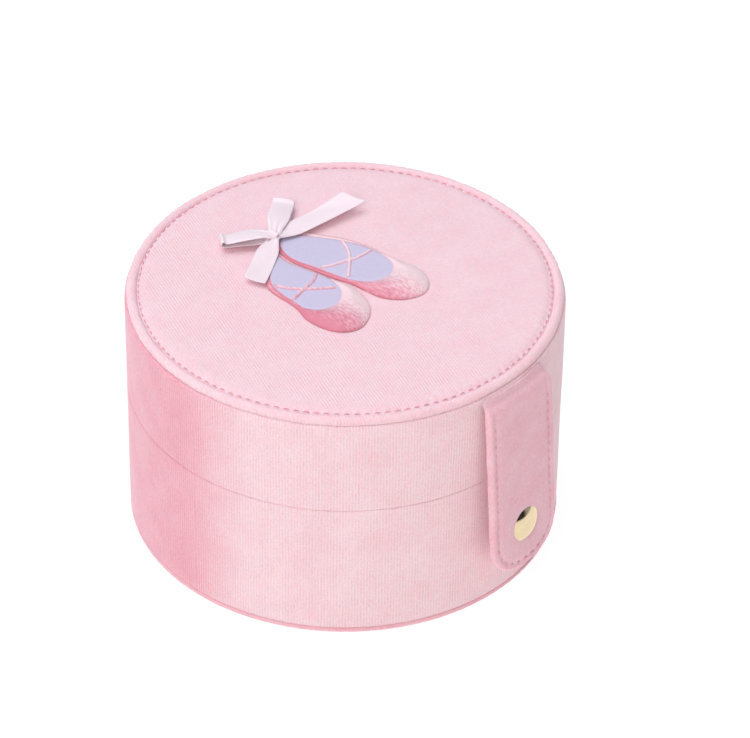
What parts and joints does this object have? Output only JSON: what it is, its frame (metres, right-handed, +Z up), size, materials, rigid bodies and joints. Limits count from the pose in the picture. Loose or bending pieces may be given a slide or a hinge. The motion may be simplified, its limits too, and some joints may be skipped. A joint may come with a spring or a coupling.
{
  "type": "round jewellery box",
  "caption": "Round velvet jewellery box with a hinged lid, a snap-fastened front strap, a padded lid with ballet slippers and a ribbon bow, and a lined inside with ring rolls.",
  "frame": {"origin": "centre of the underside, on the round body's axis, where the box rests", "axes": "+Z up along the round body's axis; the strap and snap face -Y and the lid's hinge is at +Y; +X to the right seen from the front"},
  "size_m": [0.117, 0.1244, 0.076],
  "materials": {
    "pink_velvet": "short-pile velvet",
    "welt_velvet": "short-pile velvet piping",
    "greyboard": "matt greyboard",
    "lining_velvet": "short-pile velvet",
    "foam": "matt foam",
    "thread": "polyester sewing thread",
    "mirror_glass": "silvered glass",
    "slipper_satin": "padded satin",
    "insole_satin": "smooth satin",
    "ribbon_satin": "satin ribbon",
    "snap_brass": "polished pale gold plate"
  },
  "bodies": {
    "base": {"bottom_cover": "pink_velvet", "bottom_board": "greyboard", "bottom_piping": "welt_velvet", "base_wall_board": "greyboard", "base_wall_cover": "pink_velvet", "neck_ring": "greyboard", "base_lining": "lining_velvet", "floor_pad": "lining_velvet", "long_divider": "lining_velvet", "cross_divider": "lining_velvet", "ring_roll_block": "lining_velvet", "ring_rolls": "lining_velvet", "snap_stud": "snap_brass", "snap_stud_rivet": "snap_brass", "base_hinge_tape": "pink_velvet"},
    "lid": {"lid_hinge_tape": "pink_velvet", "lid_wall_board": "greyboard", "lid_wall_cover": "pink_velvet", "lid_lining": "lining_velvet", "lid_top_board": "greyboard", "lid_foam_pad": "foam", "lid_top_panel": "pink_velvet", "rim_filler_cord": "foam", "rim_topstitch": "thread", "lid_mirror": "mirror_glass", "mirror_bezel": "lining_velvet", "left_slipper_satin": "slipper_satin", "right_slipper_satin": "slipper_satin", "left_slipper_insole": "insole_satin", "right_slipper_insole": "insole_satin", "left_slipper_ribbons": "ribbon_satin", "right_slipper_ribbons": "ribbon_satin", "bow_knot": "ribbon_satin", "left_bow_loop": "ribbon_satin", "right_bow_loop": "ribbon_satin", "left_bow_tail": "ribbon_satin", "right_bow_tail": "ribbon_satin", "strap_root": "pink_velvet"},
    "strap": {"strap_cover": "pink_velvet", "strap_stiffener": "greyboard", "strap_lining": "pink_velvet", "strap_topstitch": "thread", "snap_cap": "snap_brass", "snap_socket": "snap_brass"}
  },
  "joints": [
    {"name": "lid_hinge", "type": "hinge", "parent": "base", "child": "lid", "pos_m": [0, 0.059, 0.0416], "axis": [-1, 0, 0], "range_deg": [0, 100]},
    {"name": "strap_hinge", "type": "hinge", "parent": "lid", "child": "strap", "pos_m": [0, -0.0596, 0.068], "axis": [-1, 0, 0], "range_deg": [0, 110]}
  ]
}
